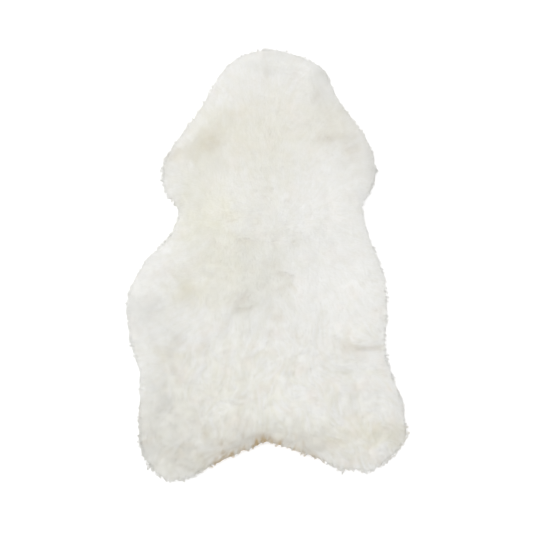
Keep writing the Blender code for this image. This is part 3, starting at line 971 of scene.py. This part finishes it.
# %% Draw one spike
def spike(rings):
    """A three-sided spike with the given number of rings and a point, as corners and faces."""
    bpy.ops.object.select_all(action="DESELECT")
    bpy.ops.mesh.primitive_circle_add(vertices=3, radius=1, fill_type="NGON")
    piece = bpy.context.object
    bpy.ops.object.mode_set(mode="EDIT")
    bpy.ops.mesh.select_all(action="SELECT")
    bpy.ops.mesh.flip_normals()
    for _ in range(rings):
        bpy.ops.mesh.extrude_region_move(TRANSFORM_OT_translate={"value": (0, 0, 1)})
    bpy.ops.mesh.merge(type="CENTER")
    bpy.ops.mesh.select_all(action="SELECT")
    bpy.ops.mesh.normals_make_consistent(inside=False)
    bpy.ops.object.mode_set(mode="OBJECT")
    corners = np.array([v.co[:] for v in piece.data.vertices])
    faces = [list(face.vertices) for face in piece.data.polygons]
    mesh = piece.data
    bpy.data.objects.remove(piece)
    bpy.data.meshes.remove(mesh)
    return corners, faces


def triangles_of(template):
    """How many triangles one spike has."""
    return sum(len(face) - 2 for face in template[1])


PLUSH_SPIKE = spike(2)
CURLY_SPIKE = spike(3)
print("triangles in a spike:", triangles_of(PLUSH_SPIKE), "or", triangles_of(CURLY_SPIKE))

# %% [markdown]
# The strands of one lock do the same thing, so each lock gets its habits once: how it strays from
# the way of the wool, how far it leans, to which side and how much it curls, how high it stands,
# how far it reaches at the rim, and its tone. Locks by the rim stray and curl less, so that the
# outline stays even. At the crown, where the wool parts, they lean less.

# %% The habits of every lock
lock_x = locks[:, 0]
lock_y = locks[:, 1]
lock_tufty = tuftiness(lock_y)
lock_steady = 1 - 0.8 * by_the_rim(read(inward, lock_x, lock_y))
lock_stray = (0.10 + 0.15 * lock_tufty) * chance.normal(0, 1, len(locks)) * lock_steady
lock_lean = (13 + 4 * lock_tufty) * MM * chance.uniform(0.75, 1.3, len(locks))
off_crown = np.hypot(lock_x - CROWN_X, lock_y - CROWN_Y)
lock_lean = lock_lean * (1 - 0.5 * np.exp(-((off_crown / (14 * MM)) ** 2)))
lock_reach = chance.normal(0, 1.1, len(locks)) * MM
lock_side = np.where(chance.random(len(locks)) < 0.5, -1, 1)
lock_curl = lock_side * (0.12 + 0.20 * lock_tufty) * chance.uniform(0.5, 1.3, len(locks))
lock_curl = lock_curl * lock_steady
lock_lift = chance.normal(0, 1, len(locks)) * (0.05 + 0.11 * lock_tufty) * MM
lock_tone = chance.uniform(0, 1, len(locks))
print("mean lean, mm:", round(float(lock_lean.mean()) / MM, 1))

# %% [markdown]
# The strands' roots stand close together on the skin. They are planted in rows and then shaken out
# of line, which covers the skin more evenly than chance alone. Each belongs to the lock whose
# middle is nearest. In the plush half they stand closer, and the strands there are thinner, which
# makes it look smooth.

# %% Plant the roots
PLUSH_PITCH = 2.58 * MM
CURLY_PITCH = 2.72 * MM
PLUSH_ENDS = -20 * MM
ROW_PITCH = 0.866
SHAKE = 0.45
ROOTS_INSIDE = 2.5 * MM


def planted(pitch, south, north):
    """Shaken rows of roots inside the outline, between two heights on the rug."""
    rows = int((north - south) / (pitch * ROW_PITCH))
    columns = int((box_high[0] - box_low[0]) / pitch)
    j, i = np.mgrid[0:rows, 0:columns]
    x = box_low[0] + (i + 0.5 * (j % 2)) * pitch
    y = south + j * pitch * ROW_PITCH
    x = x.ravel() + chance.uniform(-SHAKE, SHAKE, x.size) * pitch
    y = y.ravel() + chance.uniform(-SHAKE, SHAKE, y.size) * pitch
    inside = read(inward, x, y) > ROOTS_INSIDE
    return x[inside], y[inside]


def nearest_lock(x, y):
    """The number of the lock whose middle is nearest to each root."""
    return np.array([LOCK_TREE.find((a, b, 0))[1] for a, b in zip(x, y)])


plush_x, plush_y = planted(PLUSH_PITCH, PLUSH_ENDS, box_high[1])
curly_x, curly_y = planted(CURLY_PITCH, box_low[1], PLUSH_ENDS)
print("roots:", len(plush_x), "plush,", len(curly_x), "curly")

# %% [markdown]
# From its root a strand leans over the way its lock leans, and bends into an arc. All the strands
# of a lock twist a little round its middle, and in curly wool they draw together towards their
# tips. A path is worked out at a few steps from the root, 0, to the tip, 1: the place on the map,
# and the depth below the surface of the wool. Most of a strand lies just under the surface, as
# combed wool does.

# %% The path of each strand
# steps along the strand, and its depth there in millimetres, in plush wool and in curly wool
PLUSH_STEPS = (0.0, 0.55, 1.0)
PLUSH_DEEP = ((3.5, 3.5), (0.7, 0.7), (0.3, 0.3))
CURLY_STEPS = (0.0, 0.4, 0.75, 1.0)
CURLY_DEEP = ((3.5, 4.0), (1.0, 1.1), (0.5, 0.3), (0.3, 0.4))
# how far a single strand strays from its lock: in its way, in its place and in its height
OWN_WAY = 0.22
OWN_PLACE = 0.7 * MM
OWN_HEIGHT = 0.06 * MM
LEAST_BEND = 0.05
DRAWN_TOGETHER = 0.10


def paths(x, y, steps, deep):
    """Middle points of the strands at the given steps along, and the lock each belongs to."""
    owner = nearest_lock(x, y)
    count = len(x)
    tufty = lock_tufty[owner]
    way = np.arctan2(read(flow_y, x, y), read(flow_x, x, y)) + lock_stray[owner]
    way = way + chance.normal(0, OWN_WAY, count)
    curl = lock_curl[owner]
    bend = np.where(np.abs(curl) < LEAST_BEND, LEAST_BEND, curl)
    lean = lock_lean[owner] * chance.uniform(0.8, 1.2, count)
    off_x = x - lock_x[owner]
    off_y = y - lock_y[owner]
    reach = np.hypot(off_x, off_y)
    twist = lock_side[owner] * (0.1 + 0.1 * tufty)
    jitter_x = chance.normal(0, OWN_PLACE, count)
    jitter_y = chance.normal(0, OWN_PLACE, count)
    jitter_z = chance.normal(0, OWN_HEIGHT, count) * (1 + tufty)
    places = []
    for step, (plush_depth, curly_depth) in zip(steps, deep):
        along_x = lean * (np.sin(way + bend * step) - np.sin(way)) / bend
        along_y = -lean * (np.cos(way + bend * step) - np.cos(way)) / bend
        keep = 1 - DRAWN_TOGETHER * tufty * step**1.2
        turn = twist * step
        in_x = (off_x * np.cos(turn) - off_y * np.sin(turn)) * keep
        in_y = (off_x * np.sin(turn) + off_y * np.cos(turn)) * keep
        px = lock_x[owner] + along_x + in_x + jitter_x * step
        py = lock_y[owner] + along_y + in_y + jitter_y * step
        depth = (plush_depth + (curly_depth - plush_depth) * tufty) * MM
        dome = (0.1 + 0.2 * tufty) * MM * (reach / (6 * MM)) ** 2 * step
        lift = lock_lift[owner] * step + jitter_z * step
        places.append([px, py, depth + dome - lift])
    return np.array(places), owner


plush_paths, plush_owner = paths(plush_x, plush_y, PLUSH_STEPS, PLUSH_DEEP)
curly_paths, curly_owner = paths(curly_x, curly_y, CURLY_STEPS, CURLY_DEEP)
print("paths:", plush_paths.shape, curly_paths.shape)

# %% [markdown]
# The outline of the real rug is ragged by a few millimetres only. So tips that lean too far out
# are drawn back to a little inside the fleece's outline, and strands that are rooted by the rim
# are drawn out to there. The wool stands above the floor, so the camera sees it wider than it is,
# by half a percent of its way from the middle, and that is taken off.

# %% Keep the tips near the outline
SEEN_WIDER = 0.005
# how far past the outline rim tips end, in millimetres: the shortest, the longest, and what
# the feet add to the longest
SHORTEST, LONGEST, AT_FEET = -5.5, -1.2, 0.6
RIM_BAND = 14 * MM


def trimmed(places, owner, steps):
    """Draws back tips that reach too far, and pulls rim tips out to near the outline."""
    tip_x, tip_y = places[-1, 0], places[-1, 1]
    beyond = -read(inward, tip_x, tip_y)
    feet = at_the_feet(tip_y)
    wanted = chance.uniform(SHORTEST, LONGEST + AT_FEET * feet, len(tip_x)) * MM
    wanted += lock_reach[owner] * 0.7
    wanted -= SEEN_WIDER * np.hypot(tip_x, tip_y)
    at_rim = read(inward, places[0, 0], places[0, 1]) < RIM_BAND
    shift = np.where(beyond > wanted, wanted - beyond, 0)
    shift = np.where(at_rim & (beyond < wanted), (wanted - beyond) * 0.8, shift)
    out_x = read(outward_x, tip_x, tip_y)
    out_y = read(outward_y, tip_x, tip_y)
    for number, step in enumerate(steps):
        places[number, 0] += out_x * shift * step
        places[number, 1] += out_y * shift * step
    return places


print("taken off at the neck, mm:", round(SEEN_WIDER * box_high[1] / MM, 1))

# %% [markdown]
# Along the rim the hairs stick together in wisps, each with one sharp point. The points are
# scattered along the outline. Many end just inside it, and the others stick out, further and more
# of them at the feet, as in the photograph. Each wisp has a few hairs of its own, and draws in the
# tips of the strands round it.

# %% Scatter the wisps along the rim
WISPS_APART = 5.5 * MM
WISP_HAIRS = 9
ASIDE = 1.8 * MM
near_row, near_column = np.nonzero(np.abs(inward) < 0.8 * MM)
mixed = chance.permutation(len(near_row))
rim_x = WEST + near_column[mixed] * CELL
rim_y = SOUTH + near_row[mixed] * CELL
wisp_x, wisp_y = thinned(rim_x, rim_y, np.full(len(rim_x), WISPS_APART)).T
wisp_feet = at_the_feet(wisp_y)
ragged = cloudy(16 * MM)
ragged = np.clip(0.4 + 0.5 * read(ragged / ragged.std(), wisp_x, wisp_y) + 0.7 * wisp_feet, 0, 1)
reach_out = chance.gamma(2.0, 1.1, len(wisp_x)) * (1 + wisp_feet) * ragged - 1.2
reach_out = np.minimum(reach_out, 3.0 + 3.0 * wisp_feet) * MM
reach_out -= SEEN_WIDER * np.hypot(wisp_x, wisp_y)
out_x = read(outward_x, wisp_x, wisp_y)
out_y = read(outward_y, wisp_x, wisp_y)
aside = chance.normal(0, ASIDE, len(wisp_x)) * (1 + wisp_feet)
print("wisps along the rim:", len(wisp_x))

# %% Root the hairs of the wisps, and set their points
hairs = len(wisp_x) * WISP_HAIRS
spread = chance.normal(0, 2.8 * MM, hairs)
deep_in = chance.uniform(3, 11, hairs) * MM
hair_x = np.repeat(wisp_x, WISP_HAIRS) - np.repeat(out_x, WISP_HAIRS) * deep_in
hair_y = np.repeat(wisp_y, WISP_HAIRS) - np.repeat(out_y, WISP_HAIRS) * deep_in
hair_x = hair_x - np.repeat(out_y, WISP_HAIRS) * spread
hair_y = hair_y + np.repeat(out_x, WISP_HAIRS) * spread
wisp_x = wisp_x + out_x * reach_out - out_y * aside
wisp_y = wisp_y + out_y * reach_out + out_x * aside
WISP_TREE = kdtree.KDTree(len(wisp_x))
for number, (a, b) in enumerate(zip(wisp_x, wisp_y)):
    WISP_TREE.insert((a, b, 0), number)
WISP_TREE.balance()
print("hairs in wisps:", hairs)


# %% Run the hairs to their wisp, and draw other tips in
PULL_BAND = 6 * MM
PULL_REACH = 7 * MM


def wisp_paths(steps):
    """Hairs that run from the rim's wool to the shared point of each wisp."""
    to_x = np.repeat(wisp_x, WISP_HAIRS) + chance.normal(0, 1.1 * MM, hairs) - hair_x
    to_y = np.repeat(wisp_y, WISP_HAIRS) + chance.normal(0, 1.1 * MM, hairs) - hair_y
    start = read(crest, hair_x, hair_y) - 1.0 * MM
    end = read(crest, hair_x + to_x, hair_y + to_y) * chance.uniform(0.7, 1.0, hairs)
    bow = chance.normal(0, 0.15, hairs)
    places = []
    for step in steps:
        px = hair_x + to_x * step - to_y * bow * step * (1 - step)
        py = hair_y + to_y * step + to_x * bow * step * (1 - step)
        z = start + (end - start) * step**1.5
        places.append([px, py, np.maximum(z, 1.0 * MM)])
    return np.array(places)


def gathered(places, steps, share):
    """Draws the tips that end at the rim together into pointed wisps."""
    tip_x, tip_y = places[-1, 0], places[-1, 1]
    at_rim = np.nonzero(read(inward, tip_x, tip_y) < PULL_BAND)[0]
    found = [WISP_TREE.find((tip_x[k], tip_y[k], 0))[1] for k in at_rim]
    to_x = wisp_x[found] - tip_x[at_rim] + chance.normal(0, 0.5 * MM, len(at_rim))
    to_y = wisp_y[found] - tip_y[at_rim] + chance.normal(0, 0.5 * MM, len(at_rim))
    pull = share * np.exp(-((np.hypot(to_x, to_y) / PULL_REACH) ** 2))
    for number, step in enumerate(steps):
        places[number, 0, at_rim] += to_x * pull * step**2
        places[number, 1, at_rim] += to_y * pull * step**2
    return places


neck_wisp = WISP_TREE.find((0, box_high[1], 0))
print("nearest wisp to the neck's end, mm:", round(neck_wisp[2] / MM, 1))

# %% [markdown]
# The paths still hold depths below the surface of the wool, and are now turned into heights above
# the floor. Strands that are rooted at the very rim follow the surface down. Those that come from
# further in follow the crest, and droop where they hang out past the outline. None goes into the
# floor.

# %% Settle the strands on the rug
DROOP = 1.2
OFF_FLOOR = 0.4 * MM
PULL = 0.8
PLUSH_THICK = np.array([1.0, 1.2, 0.0]) * MM
CURLY_THICK = np.array([1.2, 1.4, 1.2, 0.0]) * MM


def settled(places, steps, thick):
    """Turns depth under the wool into height above the floor. Rim wool leans out over the edge."""
    root_inside = read(inward, places[0, 0], places[0, 1])
    leaning = np.clip((root_inside - 3 * MM) / (5 * MM), 0, 1)
    for number, step in enumerate(steps):
        x, y = places[number, 0], places[number, 1]
        level = read(surface, x, y)
        droop = np.maximum(-read(inward, x, y), 0) * DROOP
        level += (read(crest, x, y) - droop - level) * leaning * min(1, step * 1.5)
        places[number, 2] = np.maximum(level - places[number, 2], thick[number] + OFF_FLOOR)
    return places


plush_paths = gathered(trimmed(plush_paths, plush_owner, PLUSH_STEPS), PLUSH_STEPS, PULL)
plush_paths = settled(plush_paths, PLUSH_STEPS, PLUSH_THICK)
curly_paths = gathered(trimmed(curly_paths, curly_owner, CURLY_STEPS), CURLY_STEPS, PULL)
curly_paths = settled(curly_paths, CURLY_STEPS, CURLY_THICK)
print("highest tip, mm:", round(float(curly_paths[:, 2].max()) / MM, 1))

# %% [markdown]
# Below the leaning locks the rim is filled by a fringe of thin short hairs. They are rooted in a
# narrow band along the outline, run straight out and sink towards the floor, so that the rug has
# a soft side when it is seen from low down.

# %% The fringe along the rim
# steps of a hair's path, and which part of a full strand each step is coloured as
FRINGE_WAY = (0.0, 0.6, 1.0)
FRINGE_STEPS = (0.5, 0.8, 1.0)
FRINGE_THICK = np.array([0.6, 0.5, 0.0]) * MM
FRINGE_SHARE = 0.40
FRINGE_PULL = 0.6
LEAST_HAIR = 0.8 * MM


def fringe_roots():
    """Roots close along the outline, in about two of every five cells that lie near it."""
    near = (inward > 1.0 * MM) & (inward < 9.0 * MM)
    near &= chance.random(inward.shape) < FRINGE_SHARE
    row, column = np.nonzero(near)
    x = WEST + (column + chance.uniform(-0.5, 0.5, len(column))) * CELL
    y = SOUTH + (row + chance.uniform(-0.5, 0.5, len(row))) * CELL
    return x, y


def fringe_paths(x, y, steps):
    """Thin hairs that run out over the rim and sink to the floor."""
    owner = nearest_lock(x, y)
    count = len(x)
    way = np.arctan2(read(outward_y, x, y), read(outward_x, x, y))
    way = way + chance.normal(0, 0.30, count) + lock_curl[owner] * 0.15
    past = (chance.gamma(1.6, 0.6, count) * (1 + 0.8 * at_the_feet(y)) - 2.2) * MM
    long = np.maximum(np.maximum(read(inward, x, y), 0) + past, LEAST_HAIR)
    rise = read(surface, x, y)
    rise += (read(crest, x, y) - rise) * chance.uniform(0, 0.9, count) - 1.5 * MM
    sag = chance.uniform(0.15, 0.75, count)
    places = []
    for step in steps:
        px = x + np.cos(way) * long * step
        py = y + np.sin(way) * long * step
        z = np.maximum(rise * (1 - sag * step**1.5), 0.8 * MM)
        places.append([px, py, z])
    return np.array(places), owner


fringe_x, fringe_y = fringe_roots()
fringe, fringe_owner = fringe_paths(fringe_x, fringe_y, FRINGE_WAY)
fringe = gathered(fringe, FRINGE_WAY, FRINGE_PULL)
fringe = np.concatenate([fringe, wisp_paths(FRINGE_WAY)], axis=2)
fringe_owner = np.concatenate([fringe_owner, nearest_lock(hair_x, hair_y)])
print("fringe:", len(fringe_x), "hairs, and", hairs, "in wisps")

# %% [markdown]
# The light on wool comes from the pile as a whole, not from each fibre. If every spike were shaded
# by its own sides, the rug would look like straw. So the normals of the spikes are made to face the
# way the whole pile faces, with only a tenth of their own roundness. The pile's slopes are eased
# where they are steep, because light gets into loose wool from the side.

# %% Which way the pile faces
SPIKE_ROUNDNESS = 0.10
STEEPEST = 3.0
fall_y, fall_x = np.gradient(softened(crest_plain, 4 * MM), CELL)


def pile_facing(x, y):
    """The way the wool's whole surface faces at the places."""
    lean_x = -read(fall_x, x, y)
    lean_y = -read(fall_y, x, y)
    eased = 1 + np.hypot(lean_x, lean_y) / STEEPEST
    return np.stack([lean_x / eased, lean_y / eased, np.ones_like(x)], axis=2)


print("steepest fall of the pile:", round(float(np.hypot(fall_x, fall_y).max()), 1))

# %% [markdown]
# One spike is now set along every path at once, with arrays. Each corner of the spike belongs to a
# step of the path, and is pushed off the path's middle by the strand's thickness at that step. The
# spikes lie flat side up, a third as thick as they are wide, as a few fibres side by side do.

# %% Set a spike along every path
FLATNESS = 0.35
LOWEST_CORNER = 0.2 * MM
CHART_SPREAD = 0.7


def along_paths(places, thick, template):
    """All the corners of all the strands, strand by strand: place, facing, place on the chart."""
    corners = template[0]
    count = places.shape[2]
    level = np.rint(corners[:, 2]).astype(int)
    middle = np.moveaxis(places, 2, 0)
    ahead = np.concatenate([middle[:, 1:], middle[:, -1:]], axis=1)
    behind = np.concatenate([middle[:, :1], middle[:, :-1]], axis=1)
    way = ahead - behind
    way /= np.maximum(np.linalg.norm(way, axis=2, keepdims=True), 1e-9)
    across = np.stack([-way[:, :, 1], way[:, :, 0], np.zeros(way.shape[:2])], axis=2)
    across[:, :, 0] += 0.02
    across /= np.maximum(np.linalg.norm(across, axis=2, keepdims=True), 1e-9)
    other = np.cross(way, across)
    roll = chance.normal(math.pi, 0.3, count)[:, None]
    size = chance.uniform(0.85, 1.15, count)[:, None]
    x = corners[:, 0] * np.cos(roll) - corners[:, 1] * np.sin(roll)
    y = (corners[:, 0] * np.sin(roll) + corners[:, 1] * np.cos(roll)) * FLATNESS
    radius = thick[level] * size
    spots = middle[:, level] + across[:, level] * (x * radius)[:, :, None]
    spots += other[:, level] * (y * radius)[:, :, None]
    spots[:, :, 2] = np.maximum(spots[:, :, 2], LOWEST_CORNER)
    own = across[:, level] * x[:, :, None] + other[:, level] * y[:, :, None]
    facing = pile_facing(spots[:, :, 0], spots[:, :, 1]) + own * SPIKE_ROUNDNESS
    facing /= np.linalg.norm(facing, axis=2, keepdims=True)
    chart = middle[:, level, :2] + corners[None, :, :2] * CHART_SPREAD * MM
    return spots, facing, chart


plush_made = along_paths(plush_paths, PLUSH_THICK, PLUSH_SPIKE)
curly_made = along_paths(curly_paths, CURLY_THICK, CURLY_SPIKE)
fringe_made = along_paths(fringe, FRINGE_THICK, PLUSH_SPIKE)
print("strands:", [len(made[0]) for made in (plush_made, curly_made, fringe_made)])

# %% [markdown]
# A piece of wool is one mesh of many strands. Adding them one by one in Blender would take far too
# long, so the corners and faces of all its strands are joined as arrays and handed over at once.
# The mesh also gets a chart, a flat map on which its colours can be baked. Every strand has its
# place there as seen from above, the faces by its root on the left half of the chart and the rest
# on the right, so that the dull root of one strand never shares a spot with another's pale tip.


# %% Lay the chart of a piece
CHART_EDGE = 0.01
HALF_CHART = 0.5


def lay_chart(mesh, places, lowest, span, upper):
    """The chart for baked colours: faces by the root in its left half, the rest in its right."""
    flat = (places - lowest) / span
    across = CHART_EDGE + (HALF_CHART - 2 * CHART_EDGE) * flat[:, 0] + HALF_CHART * upper
    up = CHART_EDGE + (1 - 2 * CHART_EDGE) * flat[:, 1]
    chart = np.stack([across, up], axis=1)
    mesh.uv_layers.new(name="OFBake").data.foreach_set("uv", chart.ravel())


print("width of each half of the chart:", HALF_CHART - 2 * CHART_EDGE)


# %% Join strands to one piece of wool
def wool_piece(name, batches):
    """One mesh from batches of strands: corners, template, steps along and tones."""
    joined = {key: [] for key in ("spots", "facing", "chart", "along", "tone")}
    loops = []
    upper = []
    sizes = []
    base = 0
    for (spots, facing, chart), (corners, faces), steps, tones in batches:
        count = len(spots)
        level = np.rint(corners[:, 2]).astype(int)
        joined["spots"].append(spots.reshape(-1, 3))
        joined["facing"].append(facing.reshape(-1, 3))
        joined["chart"].append(chart.reshape(-1, 2))
        joined["along"].append(np.tile(np.array(steps)[level], count))
        joined["tone"].append(np.repeat(tones, len(corners)))
        start = base + np.arange(count)[:, None] * len(corners)
        loops.append((start + np.concatenate(faces)[None, :]).ravel())
        half = [float(corners[face, 2].min() > 0.5) for face in faces for _ in face]
        upper.append(np.tile(half, count))
        sizes.append(np.tile([len(face) for face in faces], count))
        base += count * len(corners)
    spots, facing, chart, along, tone = (np.concatenate(rows) for rows in joined.values())
    loops = np.concatenate(loops).astype(np.int32)
    sizes = np.concatenate(sizes).astype(np.int32)
    mesh = bpy.data.meshes.new(name)
    mesh.vertices.add(len(spots))
    mesh.vertices.foreach_set("co", spots.ravel())
    mesh.loops.add(len(loops))
    mesh.loops.foreach_set("vertex_index", loops)
    mesh.polygons.add(len(sizes))
    mesh.polygons.foreach_set("loop_start", np.cumsum(sizes) - sizes)
    mesh.update(calc_edges=True)
    lay_chart(mesh, chart[loops], chart.min(axis=0), np.ptp(chart, axis=0), np.concatenate(upper))
    mesh.shade_smooth()
    mesh.normals_split_custom_set_from_vertices(facing)
    mesh.materials.append(wool)
    piece = bpy.data.objects.new(name, mesh)
    bpy.context.scene.collection.objects.link(piece)
    set_values(piece, spots[:, 0], spots[:, 1], along, tone)
    mesh.calc_loop_triangles()
    print(name, len(mesh.loop_triangles), "triangles")
    return piece


print("faces in a strand:", len(PLUSH_SPIKE[1]), "or", len(CURLY_SPIKE[1]))

# %% [markdown]
# All the wool in one mesh would be too heavy to pass on as one file. The wool is cut into five
# pieces from the neck to the rump, lock by lock, so that each has the same share of the triangles,
# and no lock is cut in two. Strands take the tone of their lock. The fringe's hairs are too fine
# for that, so each gets a tone of its own.

# %% Share the locks out over five pieces
PIECES = ["neck_wool", "shoulder_wool", "back_wool", "loin_wool", "rump_wool"]
weight = np.zeros(len(locks))
np.add.at(weight, plush_owner, triangles_of(PLUSH_SPIKE))
np.add.at(weight, curly_owner, triangles_of(CURLY_SPIKE))
np.add.at(weight, fringe_owner, triangles_of(PLUSH_SPIKE))
order = np.argsort(-lock_y)
share = np.cumsum(weight[order]) / weight.sum()
part_of = np.zeros(len(locks), dtype=int)
part_of[order] = np.minimum((share * len(PIECES)).astype(int), len(PIECES) - 1)
print("locks in each piece:", [int((part_of == n).sum()) for n in range(len(PIECES))])

# %% Make the five pieces
fringe_tone = np.zeros(len(fringe_owner))
for number in range(len(PIECES)):
    mine = part_of[fringe_owner] == number
    fringe_tone[mine] = chance.uniform(0, 1, mine.sum())
# owner of each strand, its corners, its tone, the spike it is made of, and its steps
KINDS = [
    (fringe_owner, fringe_made, fringe_tone, PLUSH_SPIKE, FRINGE_STEPS),
    (plush_owner, plush_made, lock_tone[plush_owner], PLUSH_SPIKE, PLUSH_STEPS),
    (curly_owner, curly_made, lock_tone[curly_owner], CURLY_SPIKE, CURLY_STEPS),
]

wool_pieces = []
for number, name in enumerate(PIECES):
    batches = []
    for owner, made, tones, template, steps in KINDS:
        mine = part_of[owner] == number
        if mine.any():
            batches.append(([rows[mine] for rows in made], template, steps, tones[mine]))
    wool_pieces.append(wool_piece(name, batches))
print("wool pieces:", len(wool_pieces))

# %% [markdown]
# Last, every piece is tied to the model: it rides on the one body, and the packed solids that the
# pieces stand for are hidden.

for piece in [wool_bed, *wool_pieces]:
    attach(piece, "root")
    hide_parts("fleece")
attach(rug_hide, "root")
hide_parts("hide")

# %% [markdown]
# The rug must stay the size of the packed model, give or take what soft wool may stand proud.
